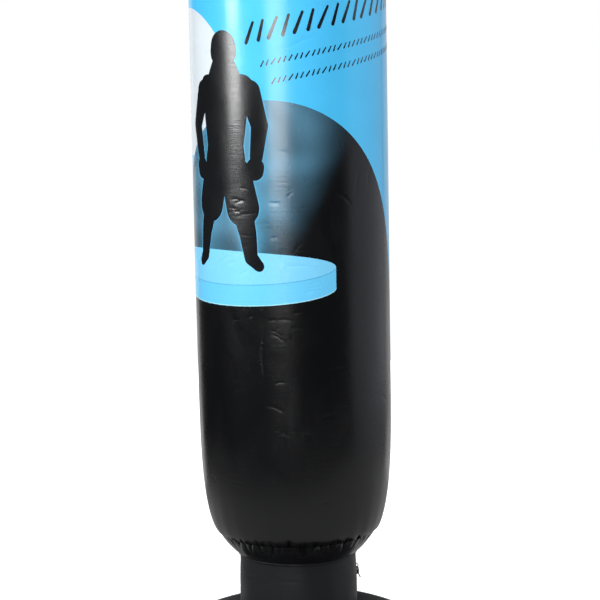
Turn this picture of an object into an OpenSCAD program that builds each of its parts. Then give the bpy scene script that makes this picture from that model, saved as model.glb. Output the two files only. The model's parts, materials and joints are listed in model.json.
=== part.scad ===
// Inflatable punching bag on a water-filled base.
// A tall air column of welded PVC film stands on a short neck, and the neck stands on a domed water tank.
// Origin: on the floor at the middle of the base. +Z is up, the printed side of the bag faces -Y.

/* [Bag] */
// Diameter of the inflated bag at its widest
bag_d = 300; // [280:5:330]
// Height of the whole object above the floor
total_h = 1600; // [1400:10:1800]
// Diameter of the two puckered seam rings
seam_d = 247; // [236:1:256]
// Height of the lower seam ring above the floor
seam_z = 330; // [326:1:340]
// Length over which the wall gathers in towards each seam
gather_h = 314; // [260:2:340]
// Rise of the top disc above the upper seam
crown_h = 30; // [20:1:45]
// Width of the tape that covers the wall's upright joint
strip_w = 16; // [10:1:24]

/* [Neck] */
// Diameter of the neck at its two ends
neck_d = 181.6; // [176:0.4:184]
// How far the inflated neck bulges at mid height
neck_bulge = 1.4; // [0:0.1:1.6]
// Height of the neck's upper end above the floor
neck_top_z = 294; // [292:1:296]

/* [Base] */
// Diameter of the filled base, without its welded rim
base_d = 480; // [470:5:500]
// Height of the welded rim above the floor
rim_z = 116; // [112:1:118]
// Rise of the dome above the welded rim
dome_h = 92; // [88:1:94]
// Radius of the flat patch that stands on the floor
foot_r = 130; // [110:5:140]
// Width of the welded rim
rim_w = 7; // [4:1:10]
// Level of the water above the floor
water_z = 145; // [120:5:160]

/* [Film] */
// Thickness of the PVC film
film = 0.8; // [0.6:0.1:0.9]
// Depth of the folded-in hems at the seam rings
hem = 12; // [8:1:16]

/* [Air valve] */
// Height of the air valve above the floor
valve_z = 252; // [248:1:264]
// Direction of the air valve, counted from +X towards +Y
valve_turn = 12; // [0:1:30]
// Radius of the valve's bore
valve_bore_r = 3.6; // [3:0.1:4]

/* [Water filler] */
// Distance of the filler from the base's middle
filler_at = 150; // [146:1:154]
// Radius of the filler's bore
spout_bore_r = 11.5; // [10:0.5:12]
// Rise of the cap for each full turn
pitch = 4; // [4:1:4]

/* [Hidden] */

$fn = 96;
gap = 0.1;              // between films that only touch
steps = 22;             // points along one rounded stretch of a profile

bag_r = bag_d / 2;
seam_r = seam_d / 2;
neck_r = neck_d / 2;
base_r = base_d / 2;
top_seam_z = total_h - crown_h;
bottom_bulge = 1.5;      // how far the bottom disc stands out of a straight cone
collar_leg = 9;         // height of the upright leg of a neck collar
foot_leg = 20;          // width of the lower collar on the dome

film_black = [0.07, 0.07, 0.08];
print_blue = [0.25, 0.72, 0.95];
moulded_black = [0.10, 0.10, 0.11];
clear_grey = [0.75, 0.78, 0.80];
gasket_grey = [0.30, 0.30, 0.32];
water_tint = [0.45, 0.65, 0.75];

// ---------------------------------------------------------------- profiles

// Share of the way from the seam ring to full width, at share u of the gathered length
function gathered(u) = pow(1 - pow(1 - u, 4.25), 0.6);

// Outer profile of the bag's wall as [radius, height], from the lower seam to the upper one
function wall_end(i) = let(u = pow(i / steps, 2)) [seam_r + (bag_r - seam_r) * gathered(u), gather_h * u];
function wall_profile() = concat(
    [for (i = [0:steps]) [wall_end(i)[0], seam_z + wall_end(i)[1]]],
    [for (i = [steps:-1:0]) [wall_end(i)[0], top_seam_z - wall_end(i)[1]]]
);

// Slope dr/dz of a steep profile at point i
function steep_slope(p, i) =
    let(a = p[max(i - 1, 0)], b = p[min(i + 1, len(p) - 1)])
    (b[0] - a[0]) / (b[1] - a[1]);
// The same profile, moved by d along the radius so that the film keeps its thickness
function moved_in(p, d) = [
    for (i = [0:len(p) - 1]) [p[i][0] - d * sqrt(1 + pow(steep_slope(p, i), 2)), p[i][1]]
];

// A point of an ellipse about [cr, cz] at angle a, moved by d along its outward normal
function ellipse_point(cr, cz, er, ez, a, d = 0) =
    let(nr = cos(a) / er, nz = sin(a) / ez, n = sqrt(nr * nr + nz * nz))
    [cr + er * cos(a) + d * nr / n, cz + ez * sin(a) + d * nz / n];
function ellipse_arc(cr, cz, er, ez, from, to, d = 0, n = steps) =
    [for (i = [0:n]) ellipse_point(cr, cz, er, ez, from + (to - from) * i / n, d)];

// The dome of the base and its rounded lower half, moved outwards by d
function dome(from, to, d = 0, n = steps) = ellipse_arc(0, rim_z, base_r, dome_h, from, to, d, n);
function belly(from, to, d = 0, n = steps) =
    ellipse_arc(foot_r, rim_z, base_r - foot_r, rim_z, from, to, d, n);
function dome_angle(r) = acos(r / base_r);
function dome_z(r) = rim_z + dome_h * sin(dome_angle(r));

// Outer profile of the neck's tube from its foot on the dome to its top
neck_foot_z = dome_z(neck_r - film) + gap;
function neck_profile() = [for (i = [0:12]) let(u = i / 12)
    [neck_r + neck_bulge * sin(180 * u), neck_foot_z + (neck_top_z - neck_foot_z) * u]];
neck_mid_r = neck_r + neck_bulge;

// Lower surface of the bag's bottom disc, moved outwards by d, from the seam ring (0) to the neck's top (1)
bottom_run = [neck_r + 0.2 - seam_r, neck_top_z - seam_z];
bottom_out = [-bottom_run[1], bottom_run[0]] / norm(bottom_run);
function bottom_point(u, d = 0) =
    let(
        along = bottom_run + bottom_out * 4 * bottom_bulge * (1 - 2 * u),
        out = [-along[1], along[0]] / norm(along)
    )
    [seam_r, seam_z] + bottom_run * u + bottom_out * 4 * bottom_bulge * u * (1 - u) + out * d;

// Upper surface of the top disc, moved by d along its normal
function crown_z(r, d = 0) =
    let(slope = -2 * crown_h * r / (seam_r * seam_r))
    top_seam_z + crown_h * (1 - pow(r / seam_r, 2)) + d * sqrt(1 + slope * slope);

module turned(points) { rotate_extrude() polygon(points); }

// ---------------------------------------------------------------- base

module base_bottom_disc() {
    weld = asin(film / rim_z);
    color(film_black) turned(concat(
        [[0, 0]],
        belly(-90, -weld),
        [[base_r + rim_w, rim_z - film], [base_r + rim_w, rim_z]],
        belly(0, -90, -film),
        [[0, film]]
    ));
}

module base_top_disc() {
    weld = asin(film / dome_h);
    color(film_black) difference() {
        turned(concat(
            [[base_r + rim_w, rim_z], [base_r + rim_w, rim_z + film]],
            dome(weld, 90, 0, 2 * steps),
            dome(90, 0, -film, 2 * steps)
        ));
        at_filler() translate([0, 0, -8]) cylinder(r = spout_r + 0.3, h = 16);
    }
}

// The water that holds the bag down, clear of the film all round
module ballast_water() {
    inset = film + 0.3;
    level = asin((water_z - rim_z) / dome_h);
    color(water_tint) difference() {
        turned(concat(
            [[0, inset]],
            belly(-90, 0, -inset),
            dome(2, level, -inset, 8),
            [[0, dome(level, level, -inset, 1)[0][1]]]
        ));
        at_filler() translate([0, 0, -8]) cylinder(r = flange_r + 1, h = 16);
    }
}

// Film collar that ties the foot of the neck to the dome
module neck_foot_ring() {
    inner_r = neck_r + 0.8;
    near = dome_angle(inner_r);
    far = dome_angle(inner_r + foot_leg);
    color(film_black) turned(concat(
        dome(far, near, gap, 6),
        [[inner_r, neck_foot_z + collar_leg], [inner_r + film, neck_foot_z + collar_leg]],
        dome(dome_angle(inner_r + film), far, gap + film, 6)
    ));
}

// ---------------------------------------------------------------- water filler

filler_angle = dome_angle(filler_at);
filler_tilt = atan((cos(filler_angle) / base_r) / (sin(filler_angle) / dome_h));
spout_r = spout_bore_r + 3.5;
spout_h = 13;
flange_r = 24;
flange_drop = 1.9;      // depth of the flange's face under the dome, which curves away from it
flange_t = 1.4;
seal_t = 1.4;
thread_turns = 1.75;
thread_depth = 1.4;
cap_inner_r = spout_r + 2.2;
cap_r = cap_inner_r + 2.3;
cap_skirt_z = 3.2;
cap_seat_z = spout_h + seal_t + gap;
cap_top_t = 2.5;
cap_grips = 24;
button_r = 5;
button_h = 3;
strap_w = 6;
strap_t = 1.2;

module at_filler() {
    translate([0, filler_at, dome_z(filler_at)]) rotate([-filler_tilt, 0, 0]) children();
}

// A ridge that winds round a cylinder of radius r and stands out by depth, which is negative inside a cap
module thread_ridge(r, depth, z0) {
    turn_steps = 28;
    n = round(thread_turns * turn_steps);
    root = r - sign(depth) * 0.4;
    crest = r + depth;
    function ring(i) =
        let(
            a = 360 * i / turn_steps,
            fade = min(1, i / 5, (n - i) / 5),
            top = root + (crest - root) * max(0.3, fade),
            z = z0 + pitch * i / turn_steps
        )
        [for (q = [[root, -1.1], [top, -0.5], [top, 0.5], [root, 1.1]])
            [q[0] * cos(a), q[0] * sin(a), z + q[1]]];
    points = [for (i = [0:n]) each ring(i)];
    sides = [for (i = [0:n - 1]) for (k = [0:3]) let(a = 4 * i + k, b = 4 * i + (k + 1) % 4)
        depth > 0 ? [a, b, b + 4, a + 4] : [a, a + 4, b + 4, b]];
    near = [0, 1, 2, 3];
    far = [for (k = near) 4 * n + k];
    back = [3, 2, 1, 0];
    ends = depth > 0 ? [[for (k = back) near[k]], far] : [near, [for (k = back) far[k]]];
    polyhedron(points, concat(sides, ends), convexity = 6);
}

// Welded flange with the threaded spout
module filler_boss() {
    color(moulded_black) at_filler() difference() {
        union() {
            translate([0, 0, -flange_drop - flange_t]) cylinder(r = flange_r, h = flange_t);
            translate([0, 0, -flange_drop - flange_t])
                cylinder(r = spout_r, h = spout_h + flange_drop + flange_t);
            thread_ridge(spout_r, thread_depth, 3.6);
        }
        translate([0, 0, -10]) cylinder(r = spout_bore_r, h = 40);
    }
}

module filler_seal() {
    color(gasket_grey) at_filler() translate([0, 0, spout_h]) difference() {
        cylinder(r = spout_r - 0.3, h = seal_t);
        translate([0, 0, -1]) cylinder(r = spout_bore_r + 0.3, h = seal_t + 2);
    }
}

// Screw cap with a ribbed rim, an inner thread and a button that the leash turns on
module filler_cap() {
    color(moulded_black) at_filler() {
        difference() {
            union() {
                translate([0, 0, cap_skirt_z])
                    cylinder(r = cap_r, h = cap_seat_z - cap_skirt_z + cap_top_t - 0.8);
                translate([0, 0, cap_seat_z + cap_top_t - 0.8])
                    cylinder(r1 = cap_r, r2 = cap_r - 1.2, h = 0.8);
                for (k = [0:cap_grips - 1]) rotate([0, 0, 360 * k / cap_grips])
                    translate([cap_r, 0, cap_skirt_z])
                        cylinder(r = 0.9, h = cap_seat_z - cap_skirt_z + 1, $fn = 24);
            }
            translate([0, 0, cap_skirt_z - 1]) cylinder(r = cap_inner_r, h = cap_seat_z - cap_skirt_z + 1);
        }
        translate([0, 0, cap_seat_z + cap_top_t - 0.1]) cylinder(r = button_r, h = button_h);
        translate([0, 0, cap_seat_z + cap_top_t + button_h - 1.2]) cylinder(r = button_r + 1, h = 1.2);
        thread_ridge(cap_inner_r, -thread_depth, 3.6 + pitch / 2);
    }
}

// Two rings and a looped strap: the lower ring sits round the spout, the upper one under the cap's button
module filler_leash() {
    low_z = 1;
    high_z = cap_seat_z + cap_top_t + 0.2;
    loop_r = (high_z - low_z) / 2;
    loop_x = cap_r + 2;
    color(moulded_black) at_filler() {
        difference() {
            union() {
                translate([0, 0, low_z]) cylinder(r = spout_r + 3.4, h = strap_t);
                translate([0, -strap_w / 2, low_z]) cube([loop_x, strap_w, strap_t]);
            }
            translate([0, 0, -5]) cylinder(r = spout_r + 0.4, h = 12);
        }
        difference() {
            union() {
                translate([0, 0, high_z]) cylinder(r = button_r + 3, h = strap_t);
                translate([0, -strap_w / 2, high_z]) cube([loop_x, strap_w, strap_t]);
            }
            translate([0, 0, high_z - 2]) cylinder(r = button_r + 0.2, h = 6);
        }
        translate([loop_x - 0.05, strap_w / 2, low_z + loop_r + strap_t / 2])
        rotate([90, 0, 0]) difference() {
            cylinder(r = loop_r + strap_t / 2, h = strap_w);
            translate([0, 0, -1]) cylinder(r = loop_r - strap_t / 2, h = strap_w + 2);
            translate([-40, -40, -1]) cube([40, 80, strap_w + 2]);
        }
    }
}

// ---------------------------------------------------------------- neck

module neck_sleeve() {
    p = neck_profile();
    inner = moved_in(p, film);
    color(film_black) difference() {
        turned(concat(p, [for (i = [len(inner) - 1:-1:0]) inner[i]]));
        at_valve() translate([0, 0, neck_mid_r - 8]) cylinder(r = stem_r + 0.2, h = 16);
    }
}

// Film collar under the bag's bottom disc that ties it to the top of the neck
module neck_top_ring() {
    inner_r = neck_r + 0.7;
    share = 0.2;
    outer = [for (i = [0:5]) bottom_point(1 - 0.02 - share * i / 5, gap)];
    lower = [for (i = [5:-1:0]) bottom_point(1 - 0.04 - share * i / 5, gap + film)];
    color(film_black) turned(concat(
        [[inner_r, neck_top_z - collar_leg + 3], [inner_r, outer[0][1]]],
        outer,
        lower,
        [[inner_r + film, neck_top_z - collar_leg + 3]]
    ));
}

// ---------------------------------------------------------------- air valve

stem_r = valve_bore_r + 2;
stem_in = 15;           // how far the stem reaches into the neck
stem_out = 3;           // how far it stands out of the neck
valve_flange_r = 13;
valve_flange_at = sqrt(pow(neck_mid_r - film, 2) - pow(valve_flange_r, 2)) - 0.3;
lip_r = stem_r + 1;
lip_t = 1.6;
lip_at = neck_mid_r + stem_out;
plug_gap = 0.08;
plug_head_r = 6.4;
flap_t = 0.6;

// Local +Z runs out through the valve, and local +X points down
module at_valve() {
    rotate([0, 0, valve_turn]) translate([0, 0, valve_z]) rotate([0, 90, 0]) children();
}

module valve_body() {
    inner_end = neck_mid_r - stem_in;
    color(clear_grey) at_valve() difference() {
        union() {
            translate([0, 0, valve_flange_at - 1.2]) cylinder(r = valve_flange_r, h = 1.2);
            translate([0, 0, inner_end]) cylinder(r = stem_r, h = lip_at - inner_end);
            translate([0, 0, lip_at - lip_t]) cylinder(r = lip_r, h = lip_t);
        }
        translate([0, 0, inner_end - 1]) cylinder(r = valve_bore_r, h = 40);
    }
}

// One-way flap on the inner end of the stem, hinged at its upper edge
module valve_flap() {
    color(clear_grey) at_valve() translate([0, 0, neck_mid_r - stem_in - gap - flap_t]) {
        cylinder(r = valve_bore_r + 1, h = flap_t);
        translate([-stem_r, -1.5, 0]) cube([3, 3, flap_t]);
    }
}

// Push-in plug with a pull tab that hangs down and outwards
module valve_plug() {
    color(clear_grey) at_valve() translate([0, 0, lip_at + gap]) {
        translate([0, 0, -11]) cylinder(r = valve_bore_r - plug_gap, h = 11.5);
        cylinder(r = plug_head_r, h = 1.7);
        translate([0, 0, 1.7]) cylinder(r1 = plug_head_r, r2 = plug_head_r - 0.8, h = 0.6);
        translate([3.5, -2.5, 0.9]) rotate([0, -24, 0]) cube([9.5, 5, 1.2]);
    }
}

// Ring round the stem with a short looped strap that keeps the plug
module valve_leash() {
    ring_at = neck_mid_r + 0.3;
    loop_mid = ring_at + 2.3;
    color(clear_grey) at_valve() {
        difference() {
            union() {
                translate([0, 0, ring_at]) cylinder(r = stem_r + 2.2, h = 0.9);
                translate([-9, -1.5, ring_at]) cube([4, 3, 0.9]);
            }
            translate([0, 0, ring_at - 1]) cylinder(r = stem_r + 0.15, h = 4);
        }
        translate([-9, 1.5, loop_mid]) rotate([90, 0, 0]) difference() {
            cylinder(r = 2.3, h = 3);
            translate([0, 0, -1]) cylinder(r = 1.4, h = 5);
            translate([0.05, -5, -1]) cube([10, 10, 5]);
        }
        translate([-9, -1.5, loop_mid + 1.4]) cube([9 - plug_head_r - 0.2, 3, 0.9]);
    }
}

// ---------------------------------------------------------------- bag

// Ring-shaped disc between the lower seam and the neck, with its rim folded in to the weld
module bag_bottom_disc() {
    color(film_black) turned(concat(
        [[seam_r - hem, seam_z - film], [seam_r - hem, seam_z]],
        [for (i = [0:steps]) bottom_point(i / steps)],
        [for (i = [steps:-1:2]) bottom_point(i / steps, -film)],
        [[bottom_point(2 / steps, -film)[0] - 0.6, seam_z - film]]
    ));
}

// Printed tube with both ends gathered and folded in to the welds
module bag_wall() {
    p = wall_profile();
    inner = moved_in(p, film);
    low = [for (q = inner) if (q[1] > seam_z + film && q[1] < top_seam_z - film) q];
    last = len(low) - 1;
    color(print_blue) turned(concat(
        p,
        [[seam_r - hem, top_seam_z], [seam_r - hem, top_seam_z - film], [low[last][0], top_seam_z - film]],
        [for (i = [last:-1:0]) low[i]],
        [[low[0][0], seam_z + film], [seam_r - hem, seam_z + film], [seam_r - hem, seam_z]]
    ));
}

// Tape over the wall's upright joint, down the back
module bag_seam_strip() {
    margin = 14;
    p = [for (q = wall_profile()) if (q[1] > seam_z + margin && q[1] < top_seam_z - margin) q];
    near = moved_in(p, -gap);
    far = moved_in(p, -gap - film);
    arc = strip_w / bag_r * 180 / PI;
    color(print_blue) rotate([0, 0, 90 - arc / 2]) rotate_extrude(angle = arc)
        polygon(concat(far, [for (i = [len(near) - 1:-1:0]) near[i]]));
}

module bag_top_disc() {
    rim = seam_r - 2.5;
    color(print_blue) turned(concat(
        [for (i = [0:steps]) let(r = seam_r * (1 - i / steps)) [r, crown_z(r)]],
        [for (i = [steps:-1:0]) let(r = rim * (1 - i / steps), z = crown_z(r, -film))
            if (z > top_seam_z + film) [r, z]],
        [[seam_r - hem, top_seam_z + film], [seam_r - hem, top_seam_z]]
    ));
}

// ---------------------------------------------------------------- assembly

base_bottom_disc();
base_top_disc();
ballast_water();
neck_foot_ring();
filler_boss();
filler_seal();
filler_cap();
filler_leash();
neck_sleeve();
valve_body();
valve_flap();
valve_plug();
valve_leash();
neck_top_ring();
bag_bottom_disc();
bag_wall();
bag_seam_strip();
bag_top_disc();
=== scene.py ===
"""Looks of a free-standing inflatable punching bag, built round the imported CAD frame.

Every film part is a closed sheet with its own thickness. The print is thin ink laid on the film. Sizes come
from the frame; lengths are in metres, and MM turns a millimetre into them.
"""

import json
import math

import bpy
import numpy as np
from mathutils import Matrix, Vector
from mathutils.geometry import delaunay_2d_cdt


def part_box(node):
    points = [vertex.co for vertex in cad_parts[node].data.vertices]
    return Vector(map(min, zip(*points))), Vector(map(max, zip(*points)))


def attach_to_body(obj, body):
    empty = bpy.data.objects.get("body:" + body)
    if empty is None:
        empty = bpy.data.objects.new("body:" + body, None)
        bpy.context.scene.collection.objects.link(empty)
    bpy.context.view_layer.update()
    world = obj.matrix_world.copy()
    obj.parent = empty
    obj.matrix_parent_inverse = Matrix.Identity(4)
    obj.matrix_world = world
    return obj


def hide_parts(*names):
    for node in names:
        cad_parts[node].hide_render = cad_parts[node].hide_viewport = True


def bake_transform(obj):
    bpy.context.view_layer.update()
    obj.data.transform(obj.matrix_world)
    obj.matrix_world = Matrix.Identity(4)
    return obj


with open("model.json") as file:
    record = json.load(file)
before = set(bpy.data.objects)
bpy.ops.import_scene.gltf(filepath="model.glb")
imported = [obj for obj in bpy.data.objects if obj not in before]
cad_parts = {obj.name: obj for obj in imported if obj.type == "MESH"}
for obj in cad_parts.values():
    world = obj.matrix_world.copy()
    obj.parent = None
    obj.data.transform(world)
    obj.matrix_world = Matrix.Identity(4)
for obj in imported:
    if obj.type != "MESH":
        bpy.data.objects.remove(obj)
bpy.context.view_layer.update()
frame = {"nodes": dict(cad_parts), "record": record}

MM = 0.001
TURN = 2 * math.pi

# ---------------- sizes from the frame

wall_low, wall_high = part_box("bag_wall")
disc_low, disc_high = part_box("bag_bottom_disc")
neck_low, neck_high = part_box("neck_sleeve")
dome_low, dome_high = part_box("base_top_disc")
JOINTS = {j["name"]: j for j in frame["record"]["behaviour"]["joints"]}

SEAM_Z, TOP_SEAM_Z, BAG_R = wall_low.z, wall_high.z, wall_high.x
SEAM_R, NECK_TOP_Z = disc_high.x, disc_low.z
CROWN_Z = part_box("bag_top_disc")[1].z
NECK_FOOT_Z = neck_low.z
NECK_MID_R = neck_high.x
NECK_R = NECK_MID_R - 1.4 * MM
NECK_FLARE = 1.6 * MM
NECK_BEND_Z = JOINTS["lean_sideways"]["pos_m"][2]
RIM_Z, DOME_Z = dome_low.z, dome_high.z
RIM_W = 7 * MM
BASE_R = dome_high.x - RIM_W
DOME_H = DOME_Z - RIM_Z
FOOT_R = 130 * MM
GATHER_H = 314 * MM         # length over which the wall gathers in towards each seam
FILM = 0.4 * MM             # thickness of the film and of the ink
INK = 0.05 * MM
BAG_COLUMNS, BASE_COLUMNS, NECK_COLUMNS, LIP_COLUMNS = 540, 432, 300, 288       # points in a ring

VALVE_TURN = math.radians(12)
VALVE_Z = sum(corner.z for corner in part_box("valve_body")) / 2
FILLER_AT = Vector(JOINTS["cap_turn"]["pos_m"])
FILLER_AXIS = Vector(JOINTS["cap_turn"]["axis"]).normalized()


# ---------------- meshes

def grid_faces(rows, columns, wrap=True):
    """Quads of a grid whose rows run round the object and rise; they face outwards."""
    i = np.arange(rows - 1)[:, None]
    j = np.arange(columns if wrap else columns - 1)[None, :]
    a = i * columns + j
    b = i * columns + (j + 1) % columns
    return np.stack([a, b, b + columns, a + columns], -1).reshape(-1, 4)


def plain_object(name, points, faces):
    mesh = bpy.data.meshes.new(name)
    mesh.from_pydata([tuple(p) for p in points], [], [tuple(int(i) for i in f) for f in faces])
    mesh.update()
    mesh.shade_smooth()
    obj = bpy.data.objects.new(name, mesh)
    bpy.context.scene.collection.objects.link(obj)
    return obj


def film_object(name, points, faces, thickness=FILM, colours=None):
    """A closed sheet: the given outer surface, its copy further in, and a rim along every open edge.

    Colours hold the print's red, green and blue, darkened deep in the folds as painted shade, and how open
    a point lies: 0 deep in a fold, 1 outside it, which dulls the gloss in the folds as painted shade.
    """
    used, order = np.unique(faces, return_inverse=True)
    faces = order.reshape(np.shape(faces))
    points = points[used]
    count, corners = len(points), faces.shape[1]
    outer = bpy.data.meshes.new("outer")
    outer.from_pydata(points.tolist(), [], faces.tolist())
    outer.update()
    normals = np.empty(count * 3)
    outer.vertex_normals.foreach_get("vector", normals)
    bpy.data.meshes.remove(outer)
    inner = points - normals.reshape(-1, 3) * thickness

    ways = {(int(f[k]), int(f[(k + 1) % corners])) for f in faces for k in range(corners)}
    rim = [(a, b) for a, b in ways if (b, a) not in ways]
    all_faces = faces.tolist() + (faces[:, ::-1] + count).tolist()
    all_faces += [(b, a, a + count, b + count) for a, b in rim]
    obj = plain_object(name, np.concatenate([points, inner]), all_faces)
    sharp = {tuple(sorted(edge)) for a, b in rim for edge in ((a, b), (a + count, b + count))}
    for edge in obj.data.edges:
        edge.use_edge_sharp = tuple(sorted(edge.vertices)) in sharp
    if colours is not None:
        # the print attribute holds the print's colour with painted shade in the folds, and in its alpha the
        # gloss share, lowered in the folds as painted shade
        layer = obj.data.color_attributes.new("print", "FLOAT_COLOR", "POINT")
        layer.data.foreach_set("color", np.tile(colours[used], (2, 1)).ravel())
    return obj


def attach(obj, body, material, slot, *nodes):
    """The piece rides on a body, stands for the nodes and takes the material. The slot is not used."""
    obj.data.materials.append(material)
    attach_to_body(obj, body)
    if nodes:
        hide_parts(*nodes)


def film_piece(name, points, faces, body, material, slot, *nodes, **sheet):
    attach(film_object(name, points, faces, **sheet), body, material, slot, *nodes)


def span(obj, material, node):
    """The piece stands for the node and keeps its place in the world, joined to no body."""
    obj.data.materials.append(material)
    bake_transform(obj)
    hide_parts(node)


# ---------------- folds in the film

def make_puckers(seed, count, depth, up, down):
    """Folds along a weld round the object: place, depth, width, slant and length to either side."""
    rng = np.random.default_rng(seed)
    deep = rng.uniform(0.45, 1.0, count) ** 1.3
    return [
        dict(at=(k + rng.uniform(-0.33, 0.33)) * TURN / count, depth=depth * deep[k],
             width=rng.uniform(1.3, 2.4) * MM, slant=rng.uniform(-0.35, 0.35),
             up=up * rng.uniform(0.35, 1.0) * (0.6 + 0.6 * deep[k]), down=down * rng.uniform(0.4, 1.0))
        for k in range(count)
    ]


def turned_from(angle, at):
    return (angle - at + math.pi) % TURN - math.pi


def pucker(puckers, radius, angle, away, side):
    """How deep the folds pull the film in, at a distance away from their weld."""
    total = np.zeros_like(angle)
    for p in puckers:
        x = turned_from(angle, p["at"]) * radius - p["slant"] * away
        fade = np.clip(1 - away / p[side], 0, 1) ** 1.2
        total += p["depth"] * np.exp(-np.abs(x) / (p["width"] * (1 + 25 * away))) * fade
    return total


def with_fold_shade(colour, folds):
    """Colours for film_object: the print's colour with painted shade deep in the folds, darker there, and
    in the alpha a gloss share that drops there as painted shade.
    """
    # painted shade: the colour darkens and the gloss share falls where the folds lie deep
    unshaded = np.exp(-np.maximum(folds.ravel() - 0.4 * MM, 0) / (1.0 * MM))[:, None]
    return np.concatenate([np.broadcast_to(colour, (len(unshaded), 3)) * (0.35 + 0.65 * unshaded), unshaded], 1)


def waves(seed, count, turns, heights):
    """A few smooth waves in angle and height, as (turns, phase, height wave number, amount)."""
    rng = np.random.default_rng(seed)
    return [(int(rng.integers(*turns)), rng.uniform(0, TURN),
             TURN / rng.uniform(*heights) * rng.choice([-1, 1]), rng.uniform(0.5, 1)) for _ in range(count)]


def wave_sum(parts, angle, height):
    total = np.zeros_like(angle)
    for turns, phase, number, amount in parts:
        total += amount * np.cos(turns * angle + phase + number * height)
    return total / math.sqrt(len(parts))


def smooth(x, low, high):
    t = np.clip((x - low) / (high - low), 0, 1)
    return t * t * (3 - 2 * t)


def pressed(x, at, width):
    """A soft line, 1 at its middle."""
    return np.exp(-((x - at) / width) ** 2)


LOW_PUCKERS = make_puckers(3, 62, 5.4 * MM, 19 * MM, 32 * MM)
HIGH_PUCKERS = make_puckers(8, 64, 4.6 * MM, 19 * MM, 30 * MM)
FLUTES = waves(11, 9, (9, 34), (0.5, 1.4))
SWELL = waves(5, 6, (1, 6), (0.3, 1.1))


# ---------------- wall of the bag

def wall_table():
    """Radius, height and distance along the wall's profile, from the lower weld to the upper one."""
    u = np.linspace(0, 1, 500) ** 2
    r = SEAM_R + (BAG_R - SEAM_R) * (1 - (1 - u) ** 4.25) ** 0.6
    z = SEAM_Z + GATHER_H * u
    r = np.concatenate([r, r[::-1]])
    z = np.concatenate([z, SEAM_Z + TOP_SEAM_Z - z[::-1]])
    along = np.concatenate([[0], np.cumsum(np.hypot(np.diff(r), np.diff(z)))])
    return r, z, along


WALL_RADIUS, WALL_HEIGHT, WALL_ALONG = wall_table()
WALL_LEN = WALL_ALONG[-1]
HALF_ROUND = math.pi * BAG_R
SLOPE_R = np.gradient(WALL_RADIUS, WALL_ALONG)
SLOPE_Z = np.gradient(WALL_HEIGHT, WALL_ALONG)


def along_of(z):
    return np.interp(z, WALL_HEIGHT, WALL_ALONG)


def make_creases(seed, count, around, height, longest, deepest):
    """Short sharp marks left by packing, as place round, place along, half length, direction and depth."""
    rng = np.random.default_rng(seed)
    return [(rng.uniform(*around) * MM, along_of(rng.uniform(*height) * MM),
             rng.uniform(0.2, 1) * longest * MM,
             rng.normal(0, 0.35) + (math.pi / 2 if rng.random() < 0.15 else 0),
             rng.uniform(0.35, 1) * deepest * MM)
            for _ in range(count)]


# A few on the whole wall, more of them on the front, and some that stand out low on the front
CREASES = make_creases(4, 130, (-456, 456), (390, 1480), 26, 0.36)
CREASES += make_creases(9, 60, (-140, 50), (650, 910), 15, 0.42)
CREASES += [
    (s * MM, along_of(z * MM), half * MM, math.radians(way), depth * MM) for s, z, half, way, depth in (
        (-48, 631, 39, 90, 0.70), (-22, 657, 16, -34, 0.30), (-25, 664, 12, -28, 0.25),
        (-21, 589, 10, 4, 0.40), (-30, 551, 19, -20, 0.38), (16, 510, 11, -6, 0.40),
        (-65, 687, 4, 20, 0.50), (-93, 576, 4, 60, 0.50))]
CREASE_BEND = 0.15


def crease_depth(round_, along):
    total = np.zeros_like(round_)
    reach, width = 10 * MM, 0.8 * MM
    for s, a, half, way, depth in CREASES:
        near = (np.abs(round_ - s) < half + reach) & (np.abs(along - a) < half + reach)
        ds, da = round_[near] - s, along[near] - a
        run = ds * math.cos(way) + da * math.sin(way)
        off = da * math.cos(way) - ds * math.sin(way) + run * run / half * CREASE_BEND
        total[near] += depth * np.exp(-np.abs(off) / width) * np.clip(1 - (run / half) ** 2, 0, 1)
    return total


def crease_points():
    """Points on each crease and to both sides of it, so that the mesh can hold its sharp bottom."""
    found = []
    step, beside = 2.6 * MM, 1.5 * MM
    for s, a, half, way, _ in CREASES:
        run = np.arange(-half, half, step)
        for off in (-beside, 0, beside):
            across = off - run * run / half * CREASE_BEND
            found.append(np.stack([s + run * math.cos(way) - across * math.sin(way),
                                   a + run * math.sin(way) + across * math.cos(way)], 1))
    return np.concatenate(found)


def wall_folds(angle, along):
    return (pucker(LOW_PUCKERS, SEAM_R, angle, along, "up")
            + pucker(HIGH_PUCKERS, SEAM_R, angle, WALL_LEN - along, "up"))


def wall_points(round_, along, lift=0.0):
    """Places on the folded wall, for distances round the bag and along its profile."""
    angle = round_ / BAG_R
    r, z, dr, dz = (np.interp(along, WALL_ALONG, row)
                    for row in (WALL_RADIUS, WALL_HEIGHT, SLOPE_R, SLOPE_Z))
    size = np.hypot(dr, dz)
    out_r, out_z = dz / size, -dr / size
    folds = wall_folds(angle, along)
    near = np.minimum(along, WALL_LEN - along)
    off_weld = smooth(near, -3 * MM, 8 * MM)
    swell = 0.55 * MM * wave_sum(SWELL, angle, z) * smooth(near, 0, 0.15)
    flutes = 0.5 * MM * wave_sum(FLUTES, angle, z) * np.exp(-near / 0.06) * off_weld
    shift = swell + flutes - crease_depth(round_, along) + lift
    way_r = out_r * off_weld + (1 - off_weld)
    way_z = out_z * off_weld
    radius = r + out_r * shift - way_r * folds
    height = z + out_z * shift - way_z * folds
    return np.stack([radius * np.sin(angle), -radius * np.cos(angle), height], 1)


# Edge of the black print: an arch in front and a level line round the back
ARCH_S, ARCH_Z = -34 * MM, 620 * MM
ARCH_A, ARCH_B = 257 * MM, 385 * MM
BAND_Z = 640 * MM


def level_line(s, height):
    return np.stack([s, np.full_like(s, height)], 1)


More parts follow.
